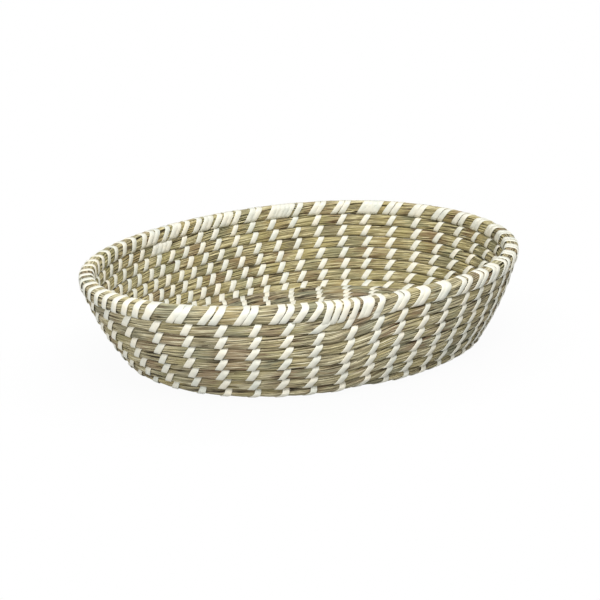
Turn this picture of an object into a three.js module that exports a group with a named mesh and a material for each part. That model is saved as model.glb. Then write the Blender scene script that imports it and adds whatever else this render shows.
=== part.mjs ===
// Oval coiled basket: one long seagrass coil, laid flat for the base and stacked for the wall,
// stitched lap to lap with a flat plastic strip, and finished with a thicker rim coil.
// Millimetres. +Z is up, +X is along the oval, and the origin is under the middle of the base.

import * as THREE from 'three';

// Driving dimensions
const rimHalfLength = 180; // rim coil's centre line, from the middle to the end
const rimHalfWidth = 132; // rim coil's centre line, from the middle to the side
const baseHalfStraight = 38; // how much longer than wide each half of the base is
const rowPitch = 9.4; // from one wall lap's centre to the next
const baseRowPitch = 11; // from one base lap's centre to the next, about
const rimPitch = 10.8; // from the top wall lap's centre to the rim's
const coilThickness = 9.6; // a lap, measured through the wall
const rimThickness = 11.4; // the rim coil, measured through the wall
const rimHeight = 10.2; // the rim coil, from its underside to its top
const coilChamfer = 2.7; // takes the coil's section from square to nearly round
const chamferLimit = 0.6; // most of the half section that the chamfer may take
const wallLaps = 6; // laps between the heel and the rim
const footSlope = THREE.MathUtils.degToRad(62); // long sides' slope above the floor at the heel
const topSlope = THREE.MathUtils.degToRad(86); // long sides' slope at the rim
const slopeEase = 1; // how soon the wall turns upright
const lapRelief = 0.8; // extra room between laps, whose ovals draw closer at the corners
const heelRelief = 2.4; // extra room on both sides of the heel, where the wall turns up
const heelRaise = 0.3; // keeps the heel off the ground, so that the flat base carries the basket
const coreRoundness = 3.2; // above 2 the lap is nearly two straights and two half circles
const wallRoundness = 0.8; // near 0 the lap is an ellipse
const stripWidth = 4.8; // stitching strip, measured along the coil
const stripThickness = 0.4;
const foldedWidth = 1.2; // the strip where it is folded to run along the groove
const stitchLean = 6.6; // how far a stitch leans along the coil over one face
const clearance = 0.3; // between a strip and the coil that it is wound on
const coreClearance = 0.5; // between the core and the strip round the first lap
const coreRounding = 0.45; // share of the core's half length taken by each rounded end
const coreTaper = [0, 0.6, 0.92]; // steps along a rounded end, as shares of its length
const wedgeSteps = [0.25, 0.5]; // steps of the first lap's tapered start, as shares of the ramp
const wedgeClearance = 0.8; // between the tapered start and what lies on each side of it
const buttGap = 0.3; // between the ends of two lap lengths
const seamAngle = THREE.MathUtils.degToRad(-109); // where one lap ends and the next begins
const rampShare = 0.1; // share of a lap over which the coil climbs to its next row
const tailShare = 0.05; // share of a lap taken by the rim's tapered end
const tailClearance = 0.9; // between the tapered end and the coil that it lies on
const tailLeastHeight = 2.5; // height left at the tip of the tapered end
const tailLeastDepth = 0.4; // share of the rim's thickness that a tip of no height would keep
const lapSteps = 20; // straight lengths in a lap
const tailSteps = 3; // straight lengths in the tapered end
const tailWrapLean = 3.2; // how far a wrap of the tapered end leans along the coil

// Sizes that follow from those
const rimHalfStraight = rimHalfLength - rimHalfWidth;
const layer = stripThickness + 2 * clearance; // a strip between two coils
const lapGap = layer + lapRelief; // between two laps, where the strip runs
const coilHeight = rowPitch - lapGap; // a wall lap, from its underside to its top
const rampSteps = Math.round(rampShare * lapSteps);
const fullTurn = 2 * Math.PI;

// Colours and roughness
const grassTones = [0x9c8e63, 0x8f8159, 0xa5976c, 0x94876a, 0xa08c62];
const rimTone = 0xab9d70;
const stripTone = 0xf0ede1;
const grassRoughness = 0.85;
const stripRoughness = 0.45;

// Rows: every row is an oval with its own half width, height and slope

function wallSlope(share) {
  return topSlope + (footSlope - topSlope) * (1 - share) ** slopeEase;
}

function layRows() {
  const climbs = [];
  for (let lap = 1; lap <= wallLaps + 1; lap += 1) {
    const slope = wallSlope((lap - 0.5) / (wallLaps + 1));
    let rise = rowPitch;
    if (lap === 1) rise += heelRelief;
    if (lap === wallLaps + 1) rise = rimPitch;
    climbs.push({ slope, out: rise * Math.cos(slope), up: rise * Math.sin(slope) });
  }
  const heelHalfWidth = rimHalfWidth - climbs.reduce((sum, climb) => sum + climb.out, 0);
  const baseLaps = Math.round((heelHalfWidth - heelRelief) / baseRowPitch) - 1;
  const basePitch = (heelHalfWidth - heelRelief) / (baseLaps + 1);
  const floorHeight = coilThickness / 2 + clearance + stripThickness;
  const heelSlope = climbs[0].slope / 2;
  const heelLift = (coilHeight / 2 + clearance + stripThickness) * Math.sin(heelSlope);
  const rows = [];
  for (let lap = 0; lap <= baseLaps; lap += 1) {
    rows.push({ halfWidth: lap * basePitch, height: floorHeight, slope: 0 });
  }
  const heelHeight = floorHeight * Math.cos(heelSlope) + heelLift + heelRaise;
  rows.push({ halfWidth: heelHalfWidth, height: heelHeight, slope: heelSlope });
  for (const [index, climb] of climbs.entries()) {
    const below = rows.at(-1);
    const next = climbs[index + 1] ?? climb;
    rows.push({
      halfWidth: below.halfWidth + climb.out,
      height: below.height + climb.up,
      slope: (climb.slope + next.slope) / 2,
    });
  }
  const heel = baseLaps + 1;
  for (const [index, row] of rows.entries()) {
    const baseShare = Math.min(1, index / heel);
    const wallShare = Math.max(0, (index - heel) / (wallLaps + 1));
    row.roundness = THREE.MathUtils.lerp(coreRoundness, wallRoundness, baseShare);
    row.halfStraight = THREE.MathUtils.lerp(baseHalfStraight, rimHalfStraight, wallShare);
    row.coilHeight = index <= baseLaps ? basePitch - lapGap : coilHeight;
    row.thickness = coilThickness;
  }
  rows.at(-1).coilHeight = rimHeight;
  rows.at(-1).thickness = rimThickness;
  return { rows, heel };
}

const { rows, heel } = layRows();
const rim = rows.length - 1;

// A row number between two rows gives the oval between them
function rowAt(level) {
  const low = Math.min(Math.floor(level), rows.length - 2);
  const share = level - low;
  const mixed = {};
  for (const key of Object.keys(rows[low])) {
    mixed[key] = THREE.MathUtils.lerp(rows[low][key], rows[low + 1][key], share);
  }
  return mixed;
}

function ovalPoint(row, angle) {
  const straight = Math.tanh(row.roundness * Math.cos(angle)) / Math.tanh(row.roundness);
  const x = row.halfStraight * straight + row.halfWidth * Math.cos(angle);
  return new THREE.Vector3(x, row.halfWidth * Math.sin(angle), row.height);
}

// A lap climbs from the row below to its own row just after the seam
function lapLevel(lap, share) {
  return lap - 1 + Math.min(1, share / rampShare);
}

// A frame on the coil: its centre, the way along it, the way to the next row, the way out of the
// basket, and half the coil's height and thickness there
function frameOn(row, angle) {
  const nudge = 0.01;
  const along = ovalPoint(row, angle + nudge).sub(ovalPoint(row, angle - nudge)).normalize();
  const out = new THREE.Vector3(along.y, -along.x, 0);
  const up = new THREE.Vector3(0, 0, 1);
  const rise = Math.sin(row.slope);
  const run = Math.cos(row.slope);
  return {
    centre: ovalPoint(row, angle),
    along,
    next: out.clone().multiplyScalar(run).addScaledVector(up, rise),
    face: out.clone().multiplyScalar(rise).addScaledVector(up, -run),
    high: row.coilHeight / 2,
    deep: row.thickness / 2,
  };
}

function lapFrames(lap, steps, firstStep = 0) {
  const frames = [];
  for (let step = firstStep; step <= steps; step += 1) {
    const share = step / steps;
    frames.push(frameOn(rowAt(lapLevel(lap, share)), seamAngle + fullTurn * share));
  }
  return frames;
}

// Moves the two ends of a lap apart by half the gap that is left where lap lengths meet
function openEnds(frames) {
  const first = frames[0];
  const last = frames.at(-1);
  first.centre.addScaledVector(first.along, buttGap / 2);
  last.centre.addScaledVector(last.along, -buttGap / 2);
  return frames;
}

// Solids from rings of points

function closedSolid(rings) {
  const sides = rings[0].length;
  const points = rings.flat();
  const faces = [];
  for (let ring = 0; ring + 1 < rings.length; ring += 1) {
    for (let side = 0; side < sides; side += 1) {
      const a = ring * sides + side;
      const b = ring * sides + ((side + 1) % sides);
      faces.push(a, b, b + sides, a, b + sides, a + sides);
    }
  }
  const last = points.length - sides;
  for (let side = 1; side + 1 < sides; side += 1) {
    faces.push(0, side + 1, side, last, last + side, last + side + 1);
  }
  let volume = 0;
  for (let face = 0; face < faces.length; face += 3) {
    const [a, b, c] = [0, 1, 2].map((corner) => points[faces[face + corner]]);
    volume += a.dot(b.clone().cross(c));
  }
  if (volume < 0) faces.reverse();
  const geometry = new THREE.BufferGeometry().setFromPoints(points);
  geometry.setIndex(faces);
  geometry.computeVertexNormals();
  return geometry;
}

function placeOn(frame, toNext, toFace) {
  return frame.centre.clone().addScaledVector(frame.next, toNext).addScaledVector(frame.face, toFace);
}

// The coil's section is a square with its corners cut
function coilRing(frame) {
  const { high, deep } = frame;
  const cut = Math.min(coilChamfer, chamferLimit * high, chamferLimit * deep);
  const corners = [
    [high, deep - cut], [high, cut - deep], [high - cut, -deep], [cut - high, -deep],
    [-high, cut - deep], [-high, deep - cut], [cut - high, deep], [high - cut, deep],
  ];
  return corners.map(([toNext, toFace]) => placeOn(frame, toNext, toFace));
}

function between(frames, step, share) {
  const [from, to] = [frames[step], frames[step + 1]];
  const mixed = { high: THREE.MathUtils.lerp(from.high, to.high, share) };
  mixed.deep = THREE.MathUtils.lerp(from.deep, to.deep, share);
  for (const key of ['centre', 'along', 'next', 'face']) {
    mixed[key] = from[key].clone().lerp(to[key], share);
  }
  return mixed;
}

// One section of the strip: a flat outer side, and a ridge towards the coil
function stripRing(frame, toNext, toFace, width = stripWidth) {
  const high = frame.high + clearance + stripThickness;
  const deep = frame.deep + clearance + stripThickness;
  const middle = placeOn(frame, toNext * high, toFace * deep);
  const ridge = placeOn(frame, toNext * (high - stripThickness), toFace * (deep - stripThickness));
  const half = frame.along.clone().setLength(width / 2);
  return [middle.clone().sub(half), middle.clone().add(half), ridge];
}

// Winds a strip round a length of coil: up the outer face, over, down the inner face, and along the
// groove. A step that is too short for a whole leaning stitch is passed over in the groove.
function windStrip(frames, lean) {
  const lengths = frames.slice(1).map((frame, step) => frame.centre.distanceTo(frames[step].centre));
  const stitched = [...lengths.keys()].filter((step) => lengths[step] > 2 * (lean + stripWidth));
  const rings = [];
  for (const [index, step] of stitched.entries()) {
    const shift = lean / lengths[step];
    rings.push(stripRing(between(frames, step, 0.5 - shift), -1, 1));
    rings.push(stripRing(between(frames, step, 0.5), 1, 1));
    rings.push(stripRing(between(frames, step, 0.5), 1, -1));
    rings.push(stripRing(between(frames, step, 0.5 + shift), -1, -1));
    const bends = (stitched[index + 1] ?? step) - step;
    for (let bend = 1; bend <= bends; bend += 1) {
      rings.push(stripRing(frames[step + bend], -1, -1 + (2 * bend) / (bends + 1), foldedWidth));
    }
  }
  return closedSolid(rings);
}

// The basket

const basket = new THREE.Group();

function addPiece(name, geometry, color, roughness) {
  const material = new THREE.MeshStandardMaterial({ color, roughness, metalness: 0 });
  const piece = new THREE.Mesh(geometry, material);
  piece.name = name;
  basket.add(piece);
}

function addCoil(name, frames, tone) {
  addPiece(name, closedSolid(frames.map(coilRing)), tone, grassRoughness);
}

function addStrip(name, geometry) {
  addPiece(name, geometry, stripTone, stripRoughness);
}

// The coil starts as a straight core with rounded ends, along the middle of the base
const stitchedHalf = rows[1].coilHeight / 2 + clearance + stripThickness;
const coreHalf = rows[1].halfWidth - stitchedHalf - coreClearance;

function coreFrames() {
  const along = new THREE.Vector3(1, 0, 0);
  const next = new THREE.Vector3(0, 1, 0);
  const face = new THREE.Vector3(0, 0, -1);
  const deep = rows[0].thickness / 2;
  const end = baseHalfStraight + rows[1].halfWidth - stitchedHalf - wedgeClearance;
  const right = coreTaper.map((share) => ({
    x: end * (1 - coreRounding * (1 - share)),
    high: coreHalf * Math.sqrt(1 - share ** 2),
  }));
  const left = right.toReversed().map(({ x, high }) => ({ x: -x, high }));
  return [...left, ...right].map(({ x, high }) => ({
    centre: new THREE.Vector3(x, 0, rows[0].height), along, next, face, high, deep,
  }));
}

// The first lap starts as a wedge between the core and the second lap, which climbs away from the core
function wedgeFrames() {
  return wedgeSteps.map((step) => {
    const inner = coreHalf + wedgeClearance;
    const outer = rows[1].halfWidth * (1 + step) - stitchedHalf - wedgeClearance;
    const level = (inner + outer) / 2 / rows[1].halfWidth;
    const frame = frameOn(rowAt(level), seamAngle + fullTurn * rampShare * step);
    frame.high = (outer - inner) / 2;
    return frame;
  });
}

function buildBase() {
  addCoil('base_core', coreFrames(), grassTones[0]);
  for (let lap = 1; lap < heel; lap += 1) {
    const start = lap === 1 ? wedgeFrames() : [];
    const stitched = lapFrames(lap, lapSteps, lap === 1 ? rampSteps : 0);
    const frames = openEnds([...start, ...stitched]);
    addCoil(`base_coil_${lap}`, frames, grassTones[lap % grassTones.length]);
    addStrip(`base_strip_${lap}`, windStrip(stitched, stitchLean));
  }
}

function buildWall() {
  for (let lap = heel; lap < rim; lap += 1) {
    const frames = openEnds(lapFrames(lap, lapSteps));
    const name = lap === heel ? 'heel' : `wall_${lap - heel}`;
    addCoil(`${name}_coil`, frames, grassTones[lap % grassTones.length]);
    addStrip(`${name}_strip`, windStrip(frames, stitchLean));
  }
}

// The rim's end runs on over its own beginning, and thins to a wedge where that climbs up to meet it
function tailFrames() {
  const frames = [];
  for (let step = 1; step <= tailSteps; step += 1) {
    const share = (tailShare * step) / tailSteps;
    const angle = seamAngle + fullTurn * share;
    const frame = frameOn(rows[rim], angle);
    const under = rowAt(lapLevel(rim, share));
    const drop = rimPitch * (rim - lapLevel(rim, share));
    const underside = under.coilHeight / 2 - drop + layer + tailClearance;
    const height = THREE.MathUtils.clamp(rimHeight / 2 - underside, tailLeastHeight, rimHeight);
    frame.centre.addScaledVector(frame.next, rimHeight / 2 - height / 2);
    frame.high = height / 2;
    frame.deep = (rimThickness / 2) * THREE.MathUtils.lerp(tailLeastDepth, 1, height / rimHeight);
    frames.push(frame);
  }
  return frames;
}

function buildRim() {
  const lapLength = lapFrames(rim, lapSteps);
  lapLength[0].centre.addScaledVector(lapLength[0].along, buttGap / 2);
  const tail = tailFrames();
  addCoil('rim_coil', [...lapLength, ...tail], rimTone);
  addStrip('rim_strip', windStrip(lapLength, stitchLean));
  addStrip('rim_end_strip', windStrip([lapLength.at(-1), ...tail], tailWrapLean));
}

// Least gap that neighbouring laps leave each other, measured on points round each lap
function leastLapGap() {
  const samples = 720;
  let least = Infinity;
  for (let lap = 2; lap <= rim; lap += 1) {
    const lower = lapFrames(lap - 1, samples);
    const upper = lapFrames(lap, samples);
    for (let step = 0; step <= samples; step += 1) {
      const room = upper[step].centre.distanceTo(lower[step].centre);
      least = Math.min(least, room - upper[step].high - lower[step].high);
    }
  }
  return least;
}

buildBase();
buildWall();
buildRim();
console.log(`least gap between neighbouring laps: ${leastLapGap().toFixed(2)} mm`);

export default basket;
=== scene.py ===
"""Oval coiled basket: bundles of seagrass, laid lap on lap and stitched with flat white strip.

Sizes are in millimetres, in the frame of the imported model, and become metres when a mesh is made.
Shares are parts of a lap, counted from the seam. Only the studio is written in metres.
"""

import math
from functools import partial
from types import SimpleNamespace

import bpy
import numpy as np
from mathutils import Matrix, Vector


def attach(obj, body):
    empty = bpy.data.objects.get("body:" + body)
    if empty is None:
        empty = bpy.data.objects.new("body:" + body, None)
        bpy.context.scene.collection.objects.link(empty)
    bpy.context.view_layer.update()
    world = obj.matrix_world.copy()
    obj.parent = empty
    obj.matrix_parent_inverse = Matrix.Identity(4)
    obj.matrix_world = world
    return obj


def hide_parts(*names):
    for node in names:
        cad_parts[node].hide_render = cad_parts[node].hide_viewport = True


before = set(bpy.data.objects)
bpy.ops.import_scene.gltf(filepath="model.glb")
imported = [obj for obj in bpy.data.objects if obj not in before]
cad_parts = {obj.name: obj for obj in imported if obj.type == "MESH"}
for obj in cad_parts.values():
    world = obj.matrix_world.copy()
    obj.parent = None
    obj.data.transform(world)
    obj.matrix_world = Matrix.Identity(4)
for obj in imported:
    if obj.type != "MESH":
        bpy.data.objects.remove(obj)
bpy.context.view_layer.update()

MM = 0.001
FULL_TURN = 2 * math.pi
TURN_DEGREES = 360
SEED = 7

# Rows of coil, from the core of the base to the rim. The strands' own thickness fills the room between laps
RIM_HALF_LENGTH = 180.0
RIM_HALF_WIDTH = 132.0
RIM_HALF_STRAIGHT = RIM_HALF_LENGTH - RIM_HALF_WIDTH
BASE_HALF_STRAIGHT = 38.0
ROW_PITCH = 9.8
BASE_ROW_PITCH = 11.3
RIM_PITCH = 10.8
COIL_THICKNESS = 9.6
RIM_THICKNESS = 11.4
RIM_HEIGHT = 11.2
WALL_LAPS = 6
FOOT_SLOPE = math.radians(62)
TOP_SLOPE = math.radians(86)
LAP_ROOM = 0.5
HEEL_RAISE = 0.3
STRIP_LAYER = 0.7
CORE_ROUNDNESS = 3.2
WALL_ROUNDNESS = 0.8
SEAM_ANGLE = math.radians(-109)
RAMP_SHARE = 0.055
LENGTH_STEPS = 360

# Core of the base, and the wedge with which the first lap starts beside it
CORE_GAP = 0.5
CORE_TIP = 0.02
CORE_POINTS = 24
WEDGE_START = 0.25
WEDGE_GAP = 0.8

# Rim's tapered end, which runs on over the rim's beginning
TAIL_START = 0.002
TAIL_SHARE = 0.042
TAIL_CLEARANCE = 0.4
TAIL_LEAST_HEIGHT = 2.5
TAIL_LEAST_DEPTH = 0.4
TAIL_POINTS = 14

# Uneven hand work: the rim is tilted, egg shaped, and off the middle of the base
RIM_RISE_ALONG = 1.93
RIM_RISE_ACROSS = 1.1
RIM_EGG = 0.084
RIM_SHIFT = -2.66

# Grass bundle: strands that wander from their even places, in tufts that sink in places
PATH_STEP = 6.0
STRANDS = 48
STRAND_RADIUS = 0.5
STRAND_SIDES = 4
STRAND_INSET = 0.5
STRAND_SHIFT = 0.8
GIRTH_RANGE = (0.7, 1.25)
SQUARENESS = 3.4
TWIST_LENGTH = 450.0
WANDER = 0.8
WANDER_LENGTH = 60.0
WANDER_APART = 5.3
TUFT_LENGTH = 22.0
TUFT_STRANDS = 3.0
TUFT_SINK = 0.28
TUFT_NOISE = (0.5, 0.68)
HEART_SHARE = 0.92
PINCH_DEPTH = 0.4
EDGE_PINCH_DEPTH = 0.1
PINCH_REACH = 5.5
LEAST_HALF = 0.6

# Grass tones, from 0 for dark to 1 for pale. Edges are sines round the section, with 1 on the outer face
TONE_RANGE = (0.27, 1.0)
TONE_DRIFT = 0.46
DRIFT_NOISE = (0.32, 0.68)
DRIFT_PLACE = 40.0
# The heart's dark tone is painted shade, for the shaded inside of a bundle
HEART_SHADE_TONE = 0.1
# Painted shade: strands where rows meet are made darker, fading in between the two edges below
GROOVE_PAINTED_SHADE = 0.34
GROOVE_SHADE_EDGE = (0.8, 0.5)
# Painted shade: the grass of the base is made darker
BASE_PAINTED_SHADE = 0.36
# Painted bounce light: the inner face of the wall is made paler and yellower, fading in between the two edges
# below
INNER_PAINTED_LIGHT = 0.08
INNER_LIGHT_EDGE = (-0.8, 0.0)
INNER_BOUNCE_TINT = "#FFFCE9"
GRASS_TONES = ((0.0, "#3A3020"), (0.2, "#7F755B"), (0.5, "#A69C7B"), (0.8, "#C3BA98"), (1.0, "#DCD5B6"))
RIB_SIZE = 0.5
RIB_DEPTH = 0.2

# Tints of the grass along the coil: place in the noise, strength and colour
GRASS_TINTS = ((4.0, 0.62, "#8A6E54"), (31.0, 0.6, "#8B8D74"), (67.0, 0.5, "#BBAF7C"))
TINT_LENGTH = 34.0
TINT_SPREAD = 0.7
TINT_NOISE = (0.5, 0.6)

# White strip
STRIP_WIDTH = 4.9
RIM_STRIP_WIDTH = 5.0
BASE_STRIP_WIDTH = 4.2
STRIP_THICKNESS = 0.5
STRIP_EDGE_RADIUS = 0.2
FOLDED_WIDTH = 0.45
WIDTH_SPREAD = (0.93, 1.06)
STRIP_TONES = ((0.3, "#DADCD0"), (0.5, "#E5E3D4"), (0.7, "#EFE9D6"))
STRIP_CLOUD_SIZE = 14.0
STRIP_GRAIN_SIZE = 0.8
STRIP_GRAIN_DEPTH = 0.15

# Stitches: how far one leans along the coil, and how it lies on the grass
STITCH_POINTS = 25
STITCH_REACH = math.radians(166)
STITCH_LEAN = 6.2
SLANT_SPREAD = (0.88, 1.12)
STITCH_LIFT = 1.0
GROOVE_LIFT = -0.6
EDGE_LIFT_SHARE = 0.4

# Stitch columns of the wall
STITCH_SPACING = 20.75
SPACING_SWING = 0.148
SPACING_TILT = 0.063
SPACING_TURN = math.radians(36)
COLUMN_ANGLE = math.radians(-103)
COLUMN_DRIFT = 0.9
COLUMN_SWAY = 1.7
SWAY_ANGLE = math.radians(-150)
COLUMN_STEPS = 2000
STITCH_STRAY = 0.9
SEAM_MARGIN = 0.004
LEAST_SPACING = 13.0

# Stitch columns of the base
BASE_SPACING = 21.5
BASE_SWING = 0.25
BASE_TURN = math.radians(50)
BASE_COLUMN_ANGLE = math.radians(48.5)
BASE_SPREAD = math.radians(2.5)
BASE_SPREAD_LAPS = 4

# Pairs of wraps on the rim
RIM_WRAP_LEAN = 8.2
RIM_PAIR_GAP = 6.1
PAIR_SPREAD = (0.82, 1.18)
RIM_STEP_BACK = 2.0

# Rim's end: degrees past the seam where the strip goes round the end and the coil under it
END_EXTRA = 4.5
END_WRAP_LEAN = 5.5
END_WRAPS = (0.9, 2.9, 4.8, 7.0, 9.2, 10.4, 13.0)
SEAM_WRAPS = (-4.6, -1.2)
SEAM_CLEAR = (-7.0, 16.0)
LAST_STITCH = 0.3
LAST_LEAN = 12.0

# Extra stitches on the lap under the rim, in degrees, where one strip ends and the next begins
STRIP_JOIN = (111.2, 112.9, 114.6)

# Places on the rim, in degrees, where the strip is wound side by side, with the number of wraps
RIM_PATCHES = {-85.0: 2, -79.0: 2, 41.0: 4, 71.0: 5, 88.5: 2, 95.0: 2, 106.0: 2}
PATCH_SPACING = 4.4
PATCH_CLEAR = 1.0

# Span of the rim, in degrees, where the wraps are single, with their spacing at its start and its end
SINGLE_SPAN = (119.0, 207.0)
SINGLE_SPACING = (14.5, 8.8)
SINGLE_LEAN = 4.1
SPAN_CLEAR = 2.5

# Photograph's view
CAMERA_PLACE = (-526.23, -801.27, 349.41)
CAMERA_AIM = (-10.14, -6.59, 39.4)
CAMERA_LENS = 74.0
SENSOR_WIDTH = 36.0

# Studio, in metres and watts. The paper glows a little less near the basket, where its shadow lies
KEY_PLACE = (-0.25, -0.8, 1.35)
KEY_POWER = 20
FILL_PLACE = (-1.1, -0.5, 0.45)
FILL_POWER = 5
LAMP_SIZE = 0.8
LAMP_AIM = (0, 0, 0.03)
SKY_LIGHT = 0.54
FLOOR_HALF = 8.0
PAPER_COLOUR = "#A8A8A6"
GLOW_REACH = (0.17, 0.26)
GLOW_NEAR = 0.96


# Rows: every row is an oval with its own half width, height and slope

def lay_rows():
    """Sizes of the rows from the core to the rim, and the numbers of the heel and the rim."""
    shares = (np.arange(WALL_LAPS + 1) + 0.5) / (WALL_LAPS + 1)
    climbs = FOOT_SLOPE + (TOP_SLOPE - FOOT_SLOPE) * shares
    rises = np.full(WALL_LAPS + 1, ROW_PITCH)
    rises[-1] = RIM_PITCH
    outs = rises * np.cos(climbs)
    ups = rises * np.sin(climbs)
    heel_half_width = RIM_HALF_WIDTH - outs.sum()
    heel = round(heel_half_width / BASE_ROW_PITCH)
    rim = heel + WALL_LAPS + 1
    base_pitch = heel_half_width / heel
    floor_height = COIL_THICKNESS / 2 + STRIP_LAYER
    heel_slope = climbs[0] / 2
    coil_height = ROW_PITCH - LAP_ROOM
    heel_lift = (coil_height / 2 + STRIP_LAYER) * math.sin(heel_slope)
    heel_height = floor_height * math.cos(heel_slope) + heel_lift + HEEL_RAISE

    flat = np.arange(heel) * base_pitch
    half_width = np.concatenate([flat, [heel_half_width], heel_half_width + outs.cumsum()])
    height = np.concatenate([np.full(heel, floor_height), [heel_height], heel_height + ups.cumsum()])
    wall_slope = (climbs + np.append(climbs[1:], climbs[-1])) / 2
    slope = np.concatenate([np.zeros(heel), [heel_slope], wall_slope])
    high = np.full(rim + 1, coil_height / 2)
    high[:heel] = (base_pitch - LAP_ROOM) / 2
    high[rim] = RIM_HEIGHT / 2
    deep = np.full(rim + 1, COIL_THICKNESS / 2)
    deep[rim] = RIM_THICKNESS / 2
    levels = np.arange(rim + 1)
    roundness = np.interp(levels, [0, heel], [CORE_ROUNDNESS, WALL_ROUNDNESS])
    half_straight = np.interp(levels, [heel, rim], [BASE_HALF_STRAIGHT, RIM_HALF_STRAIGHT])
    rows = SimpleNamespace(half_width=half_width, height=height, slope=slope, high=high, deep=deep,
                           roundness=roundness, half_straight=half_straight)
    return rows, heel, rim


ROWS, HEEL, RIM = lay_rows()
STITCHED_HALF = ROWS.high[1] + STRIP_LAYER
CORE_HALF = ROWS.half_width[1] - STITCHED_HALF - CORE_GAP


def row_value(key, level):
    values = getattr(ROWS, key)
    return np.interp(level, np.arange(len(values)), values)


def oval(level, angle):
    half_width = row_value("half_width", level)
    roundness = row_value("roundness", level)
    straight = np.tanh(roundness * np.cos(angle)) / np.tanh(roundness)
    x = row_value("half_straight", level) * straight + half_width * np.cos(angle)
    return np.stack([x, half_width * np.sin(angle), row_value("height", level)], axis=-1)


def settle(points):
    """Makes the basket a little uneven, as one shaped by hand is."""
    heel_height = ROWS.height[HEEL]
    share = np.clip((points[..., 2] - heel_height) / (ROWS.height[RIM] - heel_height), 0, None)
    x = points[..., 0] / RIM_HALF_LENGTH
    y = points[..., 1] / RIM_HALF_WIDTH
    moved = points.copy()
    moved[..., 0] += RIM_SHIFT * (2 * share - 1)
    moved[..., 1] *= 1 + RIM_EGG * x * share
    moved[..., 2] += (RIM_RISE_ALONG * x + RIM_RISE_ACROSS * y) * share
    return moved


def unit(vectors):
    return vectors / np.linalg.norm(vectors, axis=-1, keepdims=True)


def frames_on(level, angle):
    """Places on the coil: centre, the ways to the next row and out of the wall, and half sizes."""
    nudge = 0.01
    along = unit(oval(level, angle + nudge) - oval(level, angle - nudge))
    out = np.stack([along[..., 1], -along[..., 0], np.zeros(along.shape[:-1])], axis=-1)
    up = np.array([0.0, 0.0, 1.0])
    rise = np.sin(row_value("slope", level))[..., None]
    run = np.cos(row_value("slope", level))[..., None]
    return SimpleNamespace(
        centre=settle(oval(level, angle)), to_next=out * run + up * rise, to_face=out * rise - up * run,
        high=row_value("high", level), deep=row_value("deep", level))


def ease(share):
    share = np.clip(share, 0, 1)
    return share * share * (3 - 2 * share)


def lap_frames(lap, share):
    """A lap climbs from the row below to its own row just after the seam. The first starts as a wedge."""
    level = lap - 1 + ease(share / RAMP_SHARE)
    angle = SEAM_ANGLE + FULL_TURN * share
    if lap > 1:
        return frames_on(level, angle)
    first = ROWS.half_width[1]
    inner = CORE_HALF + WEDGE_GAP
    outer = first * (1 + np.clip(share / RAMP_SHARE, 0, 1)) - STITCHED_HALF
    wedge = share < RAMP_SHARE
    frames = frames_on(np.where(wedge, (inner + outer) / 2 / first, 1.0), angle)
    frames.high = np.where(wedge, (outer - inner) / 2, frames.high)
    return frames


def end_frames(share):
    """Where the rim's end lies on its beginning, the strip goes round both."""
    frames = frames_on(np.full_like(share, RIM), SEAM_ANGLE + FULL_TURN * share)
    extra = END_EXTRA * np.clip(1 - share / TAIL_SHARE, 0, 1)
    frames.centre = frames.centre - frames.to_next * (extra / 2)[:, None]
    frames.high = frames.high + extra / 2
    return frames


def tail_frames(share):
    """The rim's end runs on over its own beginning and thins to a wedge."""
    frames = frames_on(np.full_like(share, RIM), SEAM_ANGLE + FULL_TURN * share)
    level = RIM - 1 + ease(share / RAMP_SHARE)
    underside = row_value("high", level) - RIM_PITCH * (RIM - level) + TAIL_CLEARANCE
    height = np.clip(RIM_HEIGHT / 2 - underside, TAIL_LEAST_HEIGHT, RIM_HEIGHT)
    frames.centre = frames.centre + frames.to_next * (RIM_HEIGHT / 2 - height / 2)[:, None]
    frames.high = height / 2
    frames.deep = RIM_THICKNESS / 2 * (TAIL_LEAST_DEPTH + (1 - TAIL_LEAST_DEPTH) * height / RIM_HEIGHT)
    return frames


def join_frames(parts):
    keys = vars(parts[0]).keys()
    return SimpleNamespace(**{key: np.concatenate([getattr(part, key) for part in parts]) for key in keys})


def run_along(frames, start_run):
    """Millimetres of coil from the start of the base to each place."""
    steps = np.linalg.norm(np.diff(frames.centre, axis=0), axis=1)
    return start_run + np.concatenate([[0], steps.cumsum()])


def lap_length(lap):
    points = lap_frames(lap, np.linspace(0, 1, LENGTH_STEPS + 1)).centre
    return np.linalg.norm(np.diff(points, axis=0), axis=1).sum()


def lap_speed(lap, share):
    """Millimetres of coil per lap at a place on it."""
    nudge = 0.001
    ahead = lap_frames(lap, share + nudge).centre - lap_frames(lap, share - nudge).centre
    return np.linalg.norm(ahead, axis=-1) / (2 * nudge)


def share_at(degrees):
    return (np.radians(degrees) - SEAM_ANGLE) / FULL_TURN


LAP_LENGTHS = [lap_length(lap) for lap in range(1, RIM + 1)]


# Stitch columns: they run across the base and up the wall, closer on some sides than on others

def column_shares(lap, spacing, swing, tilt, turn, column_angle):
    """Shares of a lap where the columns cross it, with one of them at the angle given."""
    share = np.linspace(0, 1, COLUMN_STEPS + 1)
    angle = SEAM_ANGLE + FULL_TURN * share
    local = spacing * (1 + swing * np.cos(2 * (angle - turn))) * (1 + tilt * np.cos(angle + turn))
    steps = (lap_speed(lap, share) / local)[:-1] * np.diff(share)
    stitches = np.concatenate([[0], steps.cumsum()])
    count = round(stitches[-1])
    stitches *= count / stitches[-1]
    first = np.interp((column_angle - SEAM_ANGLE) / FULL_TURN % 1, share, stitches) % 1
    return np.interp(np.arange(count) + first, stitches, share)


COLUMNS = column_shares(RIM - 1, STITCH_SPACING, SPACING_SWING, SPACING_TILT, SPACING_TURN, COLUMN_ANGLE)
BASE_COLUMNS = column_shares(HEEL - 1, BASE_SPACING, BASE_SWING, 0.0, BASE_TURN, BASE_COLUMN_ANGLE)


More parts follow.
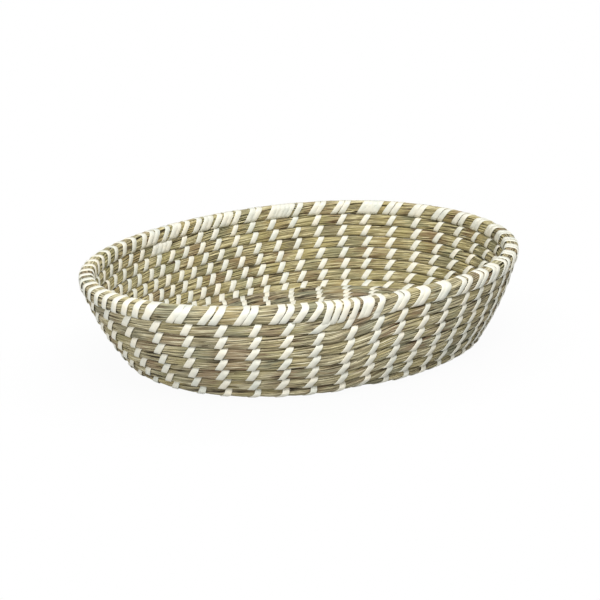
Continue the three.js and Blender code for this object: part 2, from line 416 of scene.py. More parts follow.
def base_shares(lap):
    """The base has fewer columns than the wall, and they spread from one diagonal as they run inwards."""
    inwards = min(HEEL - 1 - lap, BASE_SPREAD_LAPS)
    angle = SEAM_ANGLE + FULL_TURN * BASE_COLUMNS
    return (BASE_COLUMNS + inwards * BASE_SPREAD * np.sin(2 * (angle - BASE_TURN)) / FULL_TURN) % 1


def wall_shares(lap):
    """Each column of the wall drifts a little from lap to lap, most near one end."""
    leaning = np.maximum(np.cos(SEAM_ANGLE + FULL_TURN * COLUMNS - SWAY_ANGLE), 0) ** 2
    below = min(lap - RIM + 1, 0)
    return COLUMNS + below * (COLUMN_DRIFT + COLUMN_SWAY * leaning) / LAP_LENGTHS[RIM - 1]


def lap_stitches(lap, draw):
    """Shares of a lap where it is stitched: at the columns, left out where they crowd in tight turns."""
    share = base_shares(lap) if lap < HEEL else wall_shares(lap)
    share = share + draw.uniform(-STITCH_STRAY, STITCH_STRAY, len(share)) / LAP_LENGTHS[lap - 1]
    share = np.sort(share[(share > SEAM_MARGIN) & (share < 1 - SEAM_MARGIN)])
    if lap == 1:
        share = share[share > RAMP_SHARE]
    kept = [share[0]]
    for place in share[1:]:
        middle = (place + kept[-1]) / 2
        if (place - kept[-1]) * lap_speed(lap, np.array(middle)) > LEAST_SPACING:
            kept.append(place)
    return np.array(kept)


# Wraps of the rim

def column_pairs(columns, draw):
    """Pairs of wraps at the columns, left out round the seam."""
    columns = columns - RIM_STEP_BACK / LAP_LENGTHS[RIM - 1]
    pair = RIM_PAIR_GAP / 2 * draw.uniform(*PAIR_SPREAD, len(columns)) / lap_speed(RIM, columns)
    places = np.concatenate([columns - pair, columns + pair])
    before_seam = 1 + SEAM_CLEAR[0] / TURN_DEGREES
    after_seam = SEAM_CLEAR[1] / TURN_DEGREES
    return places[(places > after_seam) & (places < before_seam)]


def single_wraps():
    """Single wraps along their span, closer and closer."""
    start, end = share_at(SINGLE_SPAN)
    places = [start]
    while places[-1] < end:
        spacing = np.interp(places[-1], [start, end], SINGLE_SPACING)
        places.append(places[-1] + spacing / lap_speed(RIM, np.array(places[-1])))
    return np.array(places[:-1])


def rim_wraps(columns, draw):
    """Places and leans of the wraps: pairs at the columns, side by side in patches, single in one span."""
    places = column_pairs(columns, draw)
    for angle, count in RIM_PATCHES.items():
        middle = share_at(angle)
        step = PATCH_SPACING / lap_speed(RIM, np.array(middle))
        patch = middle + (np.arange(count) - (count - 1) / 2) * step
        outside = np.abs(places - middle) > (count / 2 + PATCH_CLEAR) * step
        places = np.concatenate([places[outside], patch])
    places = np.concatenate([places, 1 + np.array(SEAM_WRAPS) / TURN_DEGREES])
    start, end = SINGLE_SPAN
    places = places[(places < share_at(start - SPAN_CLEAR)) | (places > share_at(end))]
    singles = single_wraps()
    lean = np.concatenate([np.full(len(places), RIM_WRAP_LEAN), np.full(len(singles), SINGLE_LEAN)])
    places = np.concatenate([places, singles])
    order = np.argsort(places)
    return places[order], lean[order]


# Meshes

def path_mesh(name, points, **values):
    """A line of points in metres, with a named value at each of them."""
    mesh = bpy.data.meshes.new(name)
    edges = [(index, index + 1) for index in range(len(points) - 1)]
    mesh.from_pydata((points * MM).tolist(), edges, [])
    for key, value in values.items():
        kind = "FLOAT" if value.ndim == 1 else "FLOAT_VECTOR"
        field = "value" if value.ndim == 1 else "vector"
        mesh.attributes.new(key, kind, "POINT").data.foreach_set(field, value.astype(np.float32).ravel())
    return mesh


def add_node(tree, kind, links=(), **settings):
    """Adds a node, sets it up, and gives each input a value or a link."""
    node = tree.nodes.new(kind)
    for key, value in settings.items():
        setattr(node, key, value)
    for socket, value in dict(links).items():
        if isinstance(value, bpy.types.NodeSocket):
            tree.links.new(value, node.inputs[socket])
        else:
            node.inputs[socket].default_value = value
    return node


def new_tree(name, inputs):
    tree = bpy.data.node_groups.new(name, "GeometryNodeTree")
    tree.interface.new_socket("Geometry", in_out="INPUT", socket_type="NodeSocketGeometry")
    for label, kind in inputs.items():
        tree.interface.new_socket(label, in_out="INPUT", socket_type=kind)
    tree.interface.new_socket("Geometry", in_out="OUTPUT", socket_type="NodeSocketGeometry")
    return tree, add_node(tree, "NodeGroupInput").outputs


def finish_tree(tree, geometry, material):
    smooth = add_node(tree, "GeometryNodeSetShadeSmooth", {"Geometry": geometry}).outputs[0]
    real = add_node(tree, "GeometryNodeRealizeInstances", {"Geometry": smooth}).outputs[0]
    shown = add_node(tree, "GeometryNodeSetMaterial", {"Geometry": real, "Material": material}).outputs[0]
    add_node(tree, "NodeGroupOutput", {"Geometry": shown})
    return tree


def grow(name, path, tree, sizes):
    """Runs a tree on a path and keeps the result as a plain mesh."""
    holder = bpy.data.objects.new(name + "_path", path)
    bpy.context.scene.collection.objects.link(holder)
    modifier = holder.modifiers.new("grow", "NODES")
    modifier.node_group = tree
    sockets = {item.name: item.identifier for item in tree.interface.items_tree if item.in_out == "INPUT"}
    for label, value in sizes.items():
        modifier[sockets[label]] = value
    grown = holder.evaluated_get(bpy.context.evaluated_depsgraph_get())
    mesh = bpy.data.meshes.new_from_object(grown)
    bpy.data.objects.remove(holder)
    mesh.name = name
    for key in ("to_next", "to_face", "groove", "facing", "fold"):
        if key in mesh.attributes:
            mesh.attributes.remove(mesh.attributes[key])
    piece = bpy.data.objects.new(name, mesh)
    bpy.context.scene.collection.objects.link(piece)
    return piece


def strand_turn(tree, given, strand, run):
    """Each strand keeps its own place round the section, and wanders a little from it along the coil."""
    shift = add_node(tree, "FunctionNodeRandomValue",
                     {3: STRAND_SHIFT, "ID": strand, "Seed": given["Seed"]}).outputs[1]
    stretch = add_node(tree, "ShaderNodeMath", {0: run, 1: given["Wander length"]},
                       operation="DIVIDE").outputs[0]
    apart = add_node(tree, "ShaderNodeMath", {0: strand, 1: WANDER_APART}, operation="MULTIPLY").outputs[0]
    spot = add_node(tree, "ShaderNodeCombineXYZ", {0: stretch, 1: apart}).outputs[0]
    sway = add_node(tree, "ShaderNodeTexNoise", {"Vector": spot, "Scale": 1.0, "Detail": 2.0}).outputs[0]
    sway = add_node(tree, "ShaderNodeMath", {0: sway, 1: 0.5}, operation="SUBTRACT").outputs[0]
    sway = add_node(tree, "ShaderNodeMath", {0: sway, 1: given["Wander"]}, operation="MULTIPLY").outputs[0]
    place = add_node(tree, "ShaderNodeMath", {0: strand, 1: shift}, operation="ADD").outputs[0]
    place = add_node(tree, "ShaderNodeMath", {0: place, 1: given["Strands"]}, operation="DIVIDE").outputs[0]
    twist = add_node(tree, "ShaderNodeMath", {0: run, 1: -1 / TWIST_LENGTH}, operation="MULTIPLY").outputs[0]
    place = add_node(tree, "ShaderNodeMath", {0: place, 1: twist}, operation="ADD").outputs[0]
    return add_node(tree, "ShaderNodeMath", {0: place, 1: FULL_TURN, 2: sway},
                    operation="MULTIPLY_ADD").outputs[0]


def tuft_fullness(tree, given, run, tuft_side, on_face):
    """Tufts of strands on the faces sink under their neighbours for a while, but not where rows meet."""
    tuft_run = add_node(tree, "ShaderNodeMath", {0: run, 1: 1 / TUFT_LENGTH}, operation="MULTIPLY").outputs[0]
    spot = add_node(tree, "ShaderNodeCombineXYZ", {0: tuft_run, 1: tuft_side, 2: given["Seed"]}).outputs[0]
    depth = add_node(tree, "ShaderNodeTexNoise", {"Vector": spot, "Scale": 1.0, "Detail": 2.0}).outputs[0]
    depth = add_node(tree, "ShaderNodeMapRange", {0: depth, 1: TUFT_NOISE[0], 2: TUFT_NOISE[1]}).outputs[0]
    depth = add_node(tree, "ShaderNodeMath", {0: depth, 1: given["Sink"]}, operation="MULTIPLY").outputs[0]
    depth = add_node(tree, "ShaderNodeMath", {0: depth, 1: on_face}, operation="MULTIPLY").outputs[0]
    return add_node(tree, "ShaderNodeMath", {0: 1.0, 1: depth}, operation="SUBTRACT").outputs[0]


def section_offset(tree, given, cosine, sine, fullness):
    """The section is a rounded square, so the reach grows towards its corners."""
    powers = []
    for wave in (cosine, sine):
        size = add_node(tree, "ShaderNodeMath", {0: wave}, operation="ABSOLUTE").outputs[0]
        power = add_node(tree, "ShaderNodeMath", {0: size, 1: given["Squareness"]}, operation="POWER")
        powers.append(power.outputs[0])
    bulk = add_node(tree, "ShaderNodeMath", {0: powers[0], 1: powers[1]}, operation="ADD").outputs[0]
    root = add_node(tree, "ShaderNodeMath", {0: -1.0, 1: given["Squareness"]}, operation="DIVIDE").outputs[0]
    reach = add_node(tree, "ShaderNodeMath", {0: bulk, 1: root}, operation="POWER").outputs[0]
    reach = add_node(tree, "ShaderNodeMath", {0: reach, 1: fullness}, operation="MULTIPLY").outputs[0]
    steps = []
    for wave, key in ((cosine, "to_next"), (sine, "to_face")):
        way = add_node(tree, "GeometryNodeInputNamedAttribute", {"Name": key}, data_type="FLOAT_VECTOR")
        size = add_node(tree, "ShaderNodeMath", {0: wave, 1: reach}, operation="MULTIPLY").outputs[0]
        step = add_node(tree, "ShaderNodeVectorMath", {0: way.outputs[0], "Scale": size}, operation="SCALE")
        steps.append(step.outputs[0])
    return add_node(tree, "ShaderNodeVectorMath", {0: steps[0], 1: steps[1]}, operation="ADD").outputs[0]


def strand_tone(tree, given, strand, on_face):
    """Each strand has its own tone, and is darker in the grooves between rows, which is painted shade."""
    seed = add_node(tree, "ShaderNodeMath", {0: given["Seed"], 1: 1.0}, operation="ADD").outputs[0]
    tone = add_node(tree, "FunctionNodeRandomValue",
                    {2: TONE_RANGE[0], 3: TONE_RANGE[1], "ID": strand, "Seed": seed}).outputs[1]
    # Painted shade in the grooves, with its strength carried by the path; the rim has none
    shade = add_node(tree, "GeometryNodeInputNamedAttribute", {"Name": "groove"}).outputs[0]
    groove = add_node(tree, "ShaderNodeMapRange",
                      {0: on_face, 1: GROOVE_SHADE_EDGE[0], 2: GROOVE_SHADE_EDGE[1], 3: 0.0, 4: shade}).outputs[0]
    return add_node(tree, "ShaderNodeMath", {0: tone, 1: groove}, operation="SUBTRACT").outputs[0]


def strand_girth(tree, given, strand):
    """Some strands are thick and some thin."""
    seed = add_node(tree, "ShaderNodeMath", {0: given["Seed"], 1: 2.0}, operation="ADD").outputs[0]
    girth = add_node(tree, "FunctionNodeRandomValue",
                     {2: GIRTH_RANGE[0], 3: GIRTH_RANGE[1], "ID": strand, "Seed": seed}).outputs[1]
    return add_node(tree, "ShaderNodeMath", {0: girth, 1: given["Strand radius"]},
                    operation="MULTIPLY").outputs[0]


def inner_light_mark(tree, sine):
    """Marks the inner face of the wall, which is painted paler and yellower, as painted bounce light."""
    dull = add_node(tree, "GeometryNodeInputNamedAttribute", {"Name": "dull"}).outputs[0]
    on_wall = add_node(tree, "ShaderNodeMapRange", {0: dull, 1: 0.0, 2: BASE_PAINTED_SHADE, 3: 1.0, 4: 0.0}).outputs[0]
    inner = add_node(tree, "ShaderNodeMapRange",
                     {0: sine, 1: INNER_LIGHT_EDGE[0], 2: INNER_LIGHT_EDGE[1], 3: 1.0, 4: 0.0}).outputs[0]
    return add_node(tree, "ShaderNodeMath", {0: inner, 1: on_wall}, operation="MULTIPLY").outputs[0]


def bundle_tree():
    """Strands of grass lying side by side round the section of a coil, over a heart whose dark tone is
    painted shade.
    """
    tree, given = new_tree("grass_bundle", {
        "Strands": "NodeSocketInt", "Strand radius": "NodeSocketFloat", "Strand sides": "NodeSocketInt",
        "Wander": "NodeSocketFloat", "Wander length": "NodeSocketFloat", "Sink": "NodeSocketFloat",
        "Squareness": "NodeSocketFloat", "Heart radius": "NodeSocketFloat", "Seed": "NodeSocketInt",
        "Material": "NodeSocketMaterial"})
    curve = add_node(tree, "GeometryNodeMeshToCurve", {"Mesh": given["Geometry"]}).outputs[0]
    copies = add_node(tree, "GeometryNodeDuplicateElements",
                      {"Geometry": curve, "Amount": given["Strands"]}, domain="SPLINE")
    strand = copies.outputs["Duplicate Index"]
    run = add_node(tree, "GeometryNodeInputNamedAttribute", {"Name": "run"}).outputs[0]
    turn = strand_turn(tree, given, strand, run)
    cosine = add_node(tree, "ShaderNodeMath", {0: turn}, operation="COSINE").outputs[0]
    sine = add_node(tree, "ShaderNodeMath", {0: turn}, operation="SINE").outputs[0]
    on_face = add_node(tree, "ShaderNodeMath", {0: sine}, operation="ABSOLUTE").outputs[0]
    tuft_side = add_node(tree, "ShaderNodeMath", {0: strand, 1: 1 / TUFT_STRANDS},
                         operation="MULTIPLY").outputs[0]
    fullness = tuft_fullness(tree, given, run, tuft_side, on_face)
    offset = section_offset(tree, given, cosine, sine, fullness)
    laid = add_node(tree, "GeometryNodeSetPosition",
                    {"Geometry": copies.outputs[0], "Offset": offset}).outputs[0]
    # The inner mark carries painted bounce light to the material
    looks = {"tone": strand_tone(tree, given, strand, on_face), "tuft": tuft_side,
             "inner": inner_light_mark(tree, sine)}
    for key, value in looks.items():
        laid = add_node(tree, "GeometryNodeStoreNamedAttribute",
                        {"Geometry": laid, "Name": key, "Value": value}).outputs[0]
    ring = add_node(tree, "GeometryNodeCurvePrimitiveCircle",
                    {"Resolution": given["Strand sides"], "Radius": 1.0}).outputs[0]
    girth = strand_girth(tree, given, strand)
    strands = add_node(tree, "GeometryNodeCurveToMesh", {
        "Curve": laid, "Profile Curve": ring, "Scale": girth, "Fill Caps": True}).outputs[0]

    # Painted shade: a heart of dark grass fills each bundle and shows between the strands, so the bundle is
    # not seen through
    dark = add_node(tree, "GeometryNodeStoreNamedAttribute",
                    {"Geometry": curve, "Name": "tone", "Value": HEART_SHADE_TONE}).outputs[0]
    slim = add_node(tree, "GeometryNodeInputNamedAttribute", {"Name": "slim"}).outputs[0]
    heart_size = add_node(tree, "ShaderNodeMath", {0: slim, 1: given["Heart radius"]},
                          operation="MULTIPLY").outputs[0]
    heart = add_node(tree, "GeometryNodeCurveToMesh", {
        "Curve": dark, "Profile Curve": ring, "Scale": heart_size, "Fill Caps": True}).outputs[0]
    both = add_node(tree, "GeometryNodeJoinGeometry", {"Geometry": strands})
    tree.links.new(heart, both.inputs[0])
    return finish_tree(tree, both.outputs[0], given["Material"])


def strip_tree():
    """A flat strip swept along its winding, turned to lie on the coil."""
    tree, given = new_tree("wound_strip", {
        "Width": "NodeSocketFloat", "Thickness": "NodeSocketFloat", "Edge radius": "NodeSocketFloat",
        "Material": "NodeSocketMaterial"})
    curve = add_node(tree, "GeometryNodeMeshToCurve", {"Mesh": given["Geometry"]}).outputs[0]
    facing = add_node(tree, "GeometryNodeInputNamedAttribute", {"Name": "facing"}, data_type="FLOAT_VECTOR")
    laid = add_node(tree, "GeometryNodeSetCurveNormal",
                    {"Curve": curve, "Normal": facing.outputs[0]}, mode="FREE")
    flat = add_node(tree, "GeometryNodeCurvePrimitiveQuadrilateral",
                    {"Width": given["Thickness"], "Height": given["Width"]}).outputs[0]
    edged = add_node(tree, "GeometryNodeFilletCurve",
                     {"Curve": flat, "Count": 1, "Radius": given["Edge radius"]}, mode="POLY").outputs[0]
    fold = add_node(tree, "GeometryNodeInputNamedAttribute", {"Name": "fold"}).outputs[0]
    strip = add_node(tree, "GeometryNodeCurveToMesh", {
        "Curve": laid.outputs[0], "Profile Curve": edged, "Scale": fold, "Fill Caps": True}).outputs[0]
    return finish_tree(tree, strip, given["Material"])


# Materials

def linear(code):
    """An sRGB hex colour as linear red, green, blue and alpha."""
    channels = [int(code[index:index + 2], 16) / 255 for index in (1, 3, 5)]
    return [c / 12.92 if c <= 0.04045 else ((c + 0.055) / 1.055) ** 2.4 for c in channels] + [1.0]


def new_material(name):
    material = bpy.data.materials.new(name)
    material.use_nodes = True
    tree = material.node_tree
    return material, tree, tree.nodes["Principled BSDF"]


def set_ramp(node, stops):
    ramp = node.color_ramp
    while len(ramp.elements) < len(stops):
        ramp.elements.new(0.5)
    for element, (place, code) in zip(ramp.elements, stops):
        element.position = place
        element.color = linear(code)


def dried_seagrass():
    """Dried seagrass: muted straw and olive blades, each with its own tone, browner in places. The darker
    heart, grooves and base are painted shade, and the paler, yellower inner face of the wall is painted
    bounce light.
    """
    material, tree, surface = new_material("dried_seagrass")
    tone, run, tuft, dull, inner = (
        add_node(tree, "ShaderNodeAttribute", attribute_name=key).outputs["Fac"]
        for key in ("tone", "run", "tuft", "dull", "inner"))

    # Tone wanders from tuft to tuft and along each tuft
    tuft_run = add_node(tree, "ShaderNodeMath", {0: run, 1: 1 / TUFT_LENGTH}, operation="MULTIPLY").outputs[0]
    blade = add_node(tree, "ShaderNodeCombineXYZ", {0: tuft_run, 1: tuft, 2: DRIFT_PLACE}).outputs[0]
    drift = add_node(tree, "ShaderNodeTexNoise", {"Vector": blade, "Scale": 1.0, "Detail": 3.0}).outputs[0]
    drift = add_node(tree, "ShaderNodeMapRange", {
        0: drift, 1: DRIFT_NOISE[0], 2: DRIFT_NOISE[1], 3: -TONE_DRIFT, 4: TONE_DRIFT}).outputs[0]
    mixed = add_node(tree, "ShaderNodeMath", {0: tone, 1: drift}, operation="ADD").outputs[0]
    # Painted shade makes the base darker
    mixed = add_node(tree, "ShaderNodeMath", {0: mixed, 1: dull}, operation="SUBTRACT").outputs[0]
    # Painted bounce light makes the inner face of the wall paler
    mixed = add_node(tree, "ShaderNodeMath", {0: inner, 1: INNER_PAINTED_LIGHT, 2: mixed},
                     operation="MULTIPLY_ADD").outputs[0]
    grass = add_node(tree, "ShaderNodeValToRGB", {0: mixed})
    set_ramp(grass, GRASS_TONES)

    # Stretches of coil, a little longer than from stitch to stitch, have tints of their own
    coloured = grass.outputs[0]
    stretch = add_node(tree, "ShaderNodeMath", {0: run, 1: 1 / TINT_LENGTH}, operation="MULTIPLY").outputs[0]
    stretch = add_node(tree, "ShaderNodeMath", {0: tone, 1: TINT_SPREAD, 2: stretch},
                       operation="MULTIPLY_ADD").outputs[0]
    for offset, strength, code in GRASS_TINTS:
        spot = add_node(tree, "ShaderNodeCombineXYZ", {0: stretch, 1: offset}).outputs[0]
        patch = add_node(tree, "ShaderNodeTexNoise", {"Vector": spot, "Scale": 1.0, "Detail": 1.0}).outputs[0]
        amount = add_node(tree, "ShaderNodeMapRange", {
            0: patch, 1: TINT_NOISE[0], 2: TINT_NOISE[1], 3: 0.0, 4: strength}).outputs[0]
        coloured = add_node(tree, "ShaderNodeMix", {0: amount, 6: coloured, 7: linear(code)},
                            data_type="RGBA").outputs[2]
    # Painted bounce light tints the inner face of the wall yellower
    coloured = add_node(tree, "ShaderNodeMix", {0: inner, 6: coloured, 7: linear(INNER_BOUNCE_TINT)},
                        data_type="RGBA", blend_type="MULTIPLY").outputs[2]
    tree.links.new(coloured, surface.inputs["Base Color"])
    surface.inputs["Roughness"].default_value = 0.62
    surface.inputs["Specular IOR Level"].default_value = 0.35

    # Fine ribs of the blade, drawn coarse enough to show
    where = add_node(tree, "ShaderNodeTexCoord").outputs["Object"]
    ribs = add_node(tree, "ShaderNodeTexNoise", {
        "Vector": where, "Scale": 1 / (RIB_SIZE * MM), "Detail": 2.0}).outputs[0]
    bump = add_node(tree, "ShaderNodeBump", {
        "Height": ribs, "Strength": 0.25, "Distance": RIB_DEPTH * MM}).outputs[0]
    tree.links.new(bump, surface.inputs["Normal"])
    return material


def white_polypropylene():
    """Flat polypropylene strapping: milky white, satin, a little warmer and cooler from stitch to stitch."""
    material, tree, surface = new_material("white_polypropylene")
    where = add_node(tree, "ShaderNodeTexCoord").outputs["Object"]
    patch = add_node(tree, "ShaderNodeTexNoise", {
        "Vector": where, "Scale": 1 / (STRIP_CLOUD_SIZE * MM), "Detail": 2.0}).outputs[0]
    shade = add_node(tree, "ShaderNodeValToRGB", {0: patch})
    set_ramp(shade, STRIP_TONES)
    tree.links.new(shade.outputs[0], surface.inputs["Base Color"])
    surface.inputs["Roughness"].default_value = 0.42
    surface.inputs["IOR"].default_value = 1.49
    grain = add_node(tree, "ShaderNodeTexNoise", {
        "Vector": where, "Scale": 1 / (STRIP_GRAIN_SIZE * MM), "Detail": 2.0}).outputs[0]
    bump = add_node(tree, "ShaderNodeBump", {
        "Height": grain, "Strength": 0.15, "Distance": STRIP_GRAIN_DEPTH * MM}).outputs[0]
    tree.links.new(bump, surface.inputs["Normal"])
    return material


def studio_paper():
    """Matt white paper that the camera sees as nearly white, with the basket's soft shadow left on it."""
    material, tree, surface = new_material("studio_paper")
    surface.inputs["Base Color"].default_value = linear(PAPER_COLOUR)
    surface.inputs["Roughness"].default_value = 0.9
    glow = add_node(tree, "ShaderNodeEmission", {"Strength": 1.0}).outputs[0]
    seen = add_node(tree, "ShaderNodeLightPath").outputs
    any_view = add_node(tree, "ShaderNodeMath", {0: seen["Is Camera Ray"], 1: seen["Is Glossy Ray"]},
                        operation="MAXIMUM").outputs[0]
    where = add_node(tree, "ShaderNodeTexCoord").outputs["Object"]
    rounded = (1.0, RIM_HALF_LENGTH / RIM_HALF_WIDTH, 0.0)
    where = add_node(tree, "ShaderNodeVectorMath", {0: where, 1: rounded}, operation="MULTIPLY").outputs[0]
    away = add_node(tree, "ShaderNodeVectorMath", {0: where}, operation="LENGTH").outputs["Value"]
    glowing = add_node(tree, "ShaderNodeMapRange", {
        0: away, 1: GLOW_REACH[0], 2: GLOW_REACH[1], 3: GLOW_NEAR, 4: 1.0}).outputs[0]
    share = add_node(tree, "ShaderNodeMath", {0: any_view, 1: glowing}, operation="MULTIPLY").outputs[0]
    mixed = add_node(tree, "ShaderNodeMixShader", {0: share, 1: surface.outputs[0], 2: glow}).outputs[0]
    tree.links.new(mixed, tree.nodes["Material Output"].inputs["Surface"])
    return material


# Pieces of the basket

BUNDLE = bundle_tree()
STRIP = strip_tree()
GRASS = dried_seagrass()
PLASTIC = white_polypropylene()


def dress(piece, node):
    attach(piece, "root")
    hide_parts(node)


def lay_bundle(node, frames, run, stitches_run=(), dull=0.0, groove=GROOVE_PAINTED_SHADE):
    """Grass along a length of coil, drawn in a little at each stitch."""
    count = len(run)
    pinch = np.zeros(count)
    for place in stitches_run:
        pinch = np.maximum(pinch, np.exp(-((run - place) / PINCH_REACH) ** 2))
    high = np.maximum(frames.high - EDGE_PINCH_DEPTH * pinch, LEAST_HALF)
    deep = np.maximum(frames.deep - STRAND_INSET - PINCH_DEPTH * pinch, LEAST_HALF)
    slim = np.minimum(high, deep) / (COIL_THICKNESS / 2)
    # The path carries the strengths of painted shade on the base and in the grooves
    path = path_mesh(
        node, frames.centre, run=run, slim=slim, dull=np.full(count, dull), groove=np.full(count, groove),
        to_next=frames.to_next * high[:, None] * MM, to_face=frames.to_face * deep[:, None] * MM)
    piece = grow(node + "_bundle", path, BUNDLE, {
        "Strands": STRANDS, "Strand radius": STRAND_RADIUS * MM, "Strand sides": STRAND_SIDES,
        "Wander": WANDER, "Wander length": WANDER_LENGTH, "Sink": TUFT_SINK, "Squareness": SQUARENESS,
        "Heart radius": COIL_THICKNESS / 2 * HEART_SHARE * MM, "Seed": SEED, "Material": GRASS})
    dress(piece, node)


def section(turn):
    """Reach towards the next row and towards the outer face, round a rounded square, from 1 to -1."""
    cosine = np.cos(turn)
    sine = np.sin(turn)
    reach = (np.abs(cosine) ** SQUARENESS + np.abs(sine) ** SQUARENESS) ** (-1 / SQUARENESS)
    return cosine * reach, sine * reach


def wind_strip(node, lap, frames_at, places, lean, draw, strip_width):
    """Strip wound round a coil: up the outer face, over, down the inner face, then along the groove."""
    count = len(places)
    turn = np.linspace(STITCH_REACH, -STITCH_REACH, STITCH_POINTS)
    to_next, to_face = section(turn)
    slide = np.where(turn > 0, -0.5, 0.5) * (1 - to_next)
    slant = lean * draw.uniform(*SLANT_SPREAD, count) / lap_speed(lap, places)
    width = draw.uniform(*WIDTH_SPREAD, count)
    share = places[:, None] + slide[None, :] * slant[:, None]

    # Between two stitches the strip lies folded in the groove
    groove = (share[:, -1] + np.append(share[1:, 0], share[-1, -1])) / 2
    share = np.concatenate([share, groove[:, None]], axis=1).ravel()[:-1]
    to_next = np.tile(np.append(to_next, -1.0), count)[:-1]
    to_face = np.tile(np.append(to_face, 0.0), count)[:-1]
    flat = np.ones((count, STITCH_POINTS)) * width[:, None]
    folded = np.full((count, 1), FOLDED_WIDTH)
    fold = np.concatenate([flat, folded], axis=1).ravel()[:-1]
    lift = np.where(fold > FOLDED_WIDTH, STITCH_LIFT, GROOVE_LIFT)

    frames = frames_at(share)
    high = frames.high + lift * EDGE_LIFT_SHARE
    deep = frames.deep - STRAND_INSET - PINCH_DEPTH + lift
    points = (frames.centre + frames.to_next * (to_next * high)[:, None]
              + frames.to_face * (to_face * deep)[:, None])
    along = unit(np.gradient(points, axis=0))
    bulge = SQUARENESS - 1
    facing = (frames.to_next * (np.sign(to_next) * np.abs(to_next) ** bulge / high)[:, None]
              + frames.to_face * (np.sign(to_face) * np.abs(to_face) ** bulge / deep)[:, None])
    facing = unit(facing - along * (facing * along).sum(axis=1, keepdims=True))
    path = path_mesh(node, points, facing=facing, fold=fold)
    piece = grow(node + "_stitching", path, STRIP, {
        "Width": strip_width * MM, "Thickness": STRIP_THICKNESS * MM, "Edge radius": STRIP_EDGE_RADIUS * MM,
        "Material": PLASTIC})
    dress(piece, node)


def build_core():
    end = BASE_HALF_STRAIGHT + ROWS.half_width[1] - STITCHED_HALF - WEDGE_GAP
    x = np.linspace(-end, end, CORE_POINTS)
    rounding = np.clip((end - np.abs(x)) / CORE_HALF, CORE_TIP, 1)
    centre = np.stack([x, np.zeros(CORE_POINTS), np.full(CORE_POINTS, ROWS.height[0])], axis=-1)
    frames = SimpleNamespace(
        centre=settle(centre), to_next=np.tile([0.0, 1.0, 0.0], (CORE_POINTS, 1)),
        to_face=np.tile([0.0, 0.0, -1.0], (CORE_POINTS, 1)),
        high=CORE_HALF * np.sqrt(rounding * (2 - rounding)), deep=np.full(CORE_POINTS, COIL_THICKNESS / 2))
    # The core's grass gets the painted shade of the base
    lay_bundle("base_core", frames, x - end, dull=BASE_PAINTED_SHADE)


def node_names(lap):
    if lap < HEEL:
        return f"base_coil_{lap}", f"base_strip_{lap}"
    if lap == HEEL:
        return "heel_coil", "heel_strip"
    return f"wall_{lap - HEEL}_coil", f"wall_{lap - HEEL}_strip"


def build_laps():
    """Lays and stitches every lap under the rim, and tells how much coil they take."""
    start_run = 0.0
    for lap in range(1, RIM):
        coil, strip = node_names(lap)
        draw = np.random.default_rng(SEED + lap)
        begin = WEDGE_START * RAMP_SHARE if lap == 1 else 0.0
        share = np.linspace(begin, 1, round(LAP_LENGTHS[lap - 1] / PATH_STEP))
        frames = lap_frames(lap, share)
        run = run_along(frames, start_run)
        places = lap_stitches(lap, draw)
        if lap == RIM - 1:
            places = np.sort(np.append(places, share_at(STRIP_JOIN)))
            places = np.append(places, 1 + LAST_STITCH / TURN_DEGREES)
        lean = np.full(len(places), STITCH_LEAN)
        if lap == RIM - 1:
            lean[-1] = LAST_LEAN
        # Laps of the base get painted shade
        dull = BASE_PAINTED_SHADE if lap < HEEL else 0.0
        strip_width = BASE_STRIP_WIDTH if lap < HEEL else STRIP_WIDTH
        lay_bundle(coil, frames, run, np.interp(places, share, run), dull)
        wind_strip(strip, lap, partial(lap_frames, lap), places, lean, draw, strip_width)
        start_run = run[-1]
    return start_run


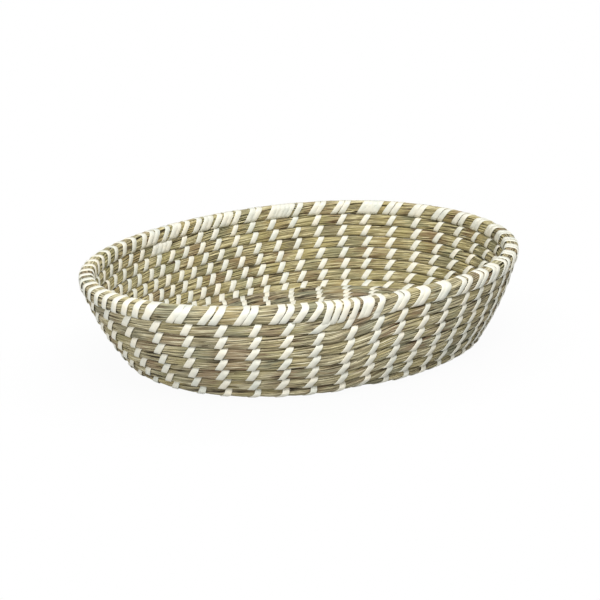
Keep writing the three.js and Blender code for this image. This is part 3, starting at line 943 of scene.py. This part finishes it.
def build_rim(start_run):
    draw = np.random.default_rng(SEED + RIM)
    share = np.linspace(0, 1, round(LAP_LENGTHS[RIM - 1] / PATH_STEP))
    tail_share = np.linspace(TAIL_START, TAIL_SHARE, TAIL_POINTS)
    frames = join_frames([lap_frames(RIM, share), tail_frames(tail_share)])
    run = run_along(frames, start_run)
    columns = lap_stitches(RIM, draw)
    wraps, wrap_lean = rim_wraps(columns, draw)
    starts = columns[columns < SEAM_CLEAR[1] / TURN_DEGREES]
    places = np.concatenate([starts, wraps])
    lean = np.concatenate([np.full(len(starts), STITCH_LEAN), wrap_lean])
    end_places = np.array(END_WRAPS) / TURN_DEGREES
    # No painted shade in the rim's groove
    lay_bundle("rim_coil", frames, run, np.interp(places, share, run[:len(share)]), groove=0.0)
    wind_strip("rim_strip", RIM, partial(lap_frames, RIM), places, lean, draw, RIM_STRIP_WIDTH)
    wind_strip("rim_end_strip", RIM, end_frames, end_places, END_WRAP_LEAN, draw, RIM_STRIP_WIDTH)


# Studio

def build_floor():
    mesh = bpy.data.meshes.new("floor")
    corners = [(x * FLOOR_HALF, y * FLOOR_HALF, 0) for x, y in ((-1, -1), (1, -1), (1, 1), (-1, 1))]
    mesh.from_pydata(corners, [], [(0, 1, 2, 3)])
    mesh.materials.append(studio_paper())
    floor = bpy.data.objects.new("floor", mesh)
    bpy.context.scene.collection.objects.link(floor)


def aim(thing, place, target):
    thing.location = place
    thing.rotation_euler = (Vector(target) - Vector(place)).to_track_quat("-Z", "Y").to_euler()


def add_lamp(name, place, power):
    lamp = bpy.data.lights.new(name, "AREA")
    lamp.shape = "DISK"
    lamp.size = LAMP_SIZE
    lamp.energy = power
    holder = bpy.data.objects.new(name, lamp)
    bpy.context.scene.collection.objects.link(holder)
    aim(holder, place, LAMP_AIM)


def build_world():
    """A white world, which the camera sees at full strength and the basket is lit by at less."""
    world = bpy.data.worlds.new("studio")
    bpy.context.scene.world = world
    world.use_nodes = True
    tree = world.node_tree
    background = tree.nodes["Background"]
    seen = add_node(tree, "ShaderNodeLightPath").outputs["Is Camera Ray"]
    strength = add_node(tree, "ShaderNodeMapRange", {0: seen, 3: SKY_LIGHT, 4: 1.0}).outputs[0]
    tree.links.new(strength, background.inputs["Strength"])
    background.inputs["Color"].default_value = (1, 1, 1, 1)


def build_camera():
    scene = bpy.context.scene
    scene.view_settings.view_transform = "Standard"
    lens = bpy.data.cameras.new("camera")
    lens.lens = CAMERA_LENS
    lens.sensor_width = SENSOR_WIDTH
    camera = bpy.data.objects.new("camera", lens)
    scene.collection.objects.link(camera)
    aim(camera, [value * MM for value in CAMERA_PLACE], [value * MM for value in CAMERA_AIM])
    scene.camera = camera


build_core()
build_rim(build_laps())
build_floor()
build_world()
add_lamp("key_light", KEY_PLACE, KEY_POWER)
add_lamp("fill_light", FILL_PLACE, FILL_POWER)
build_camera()
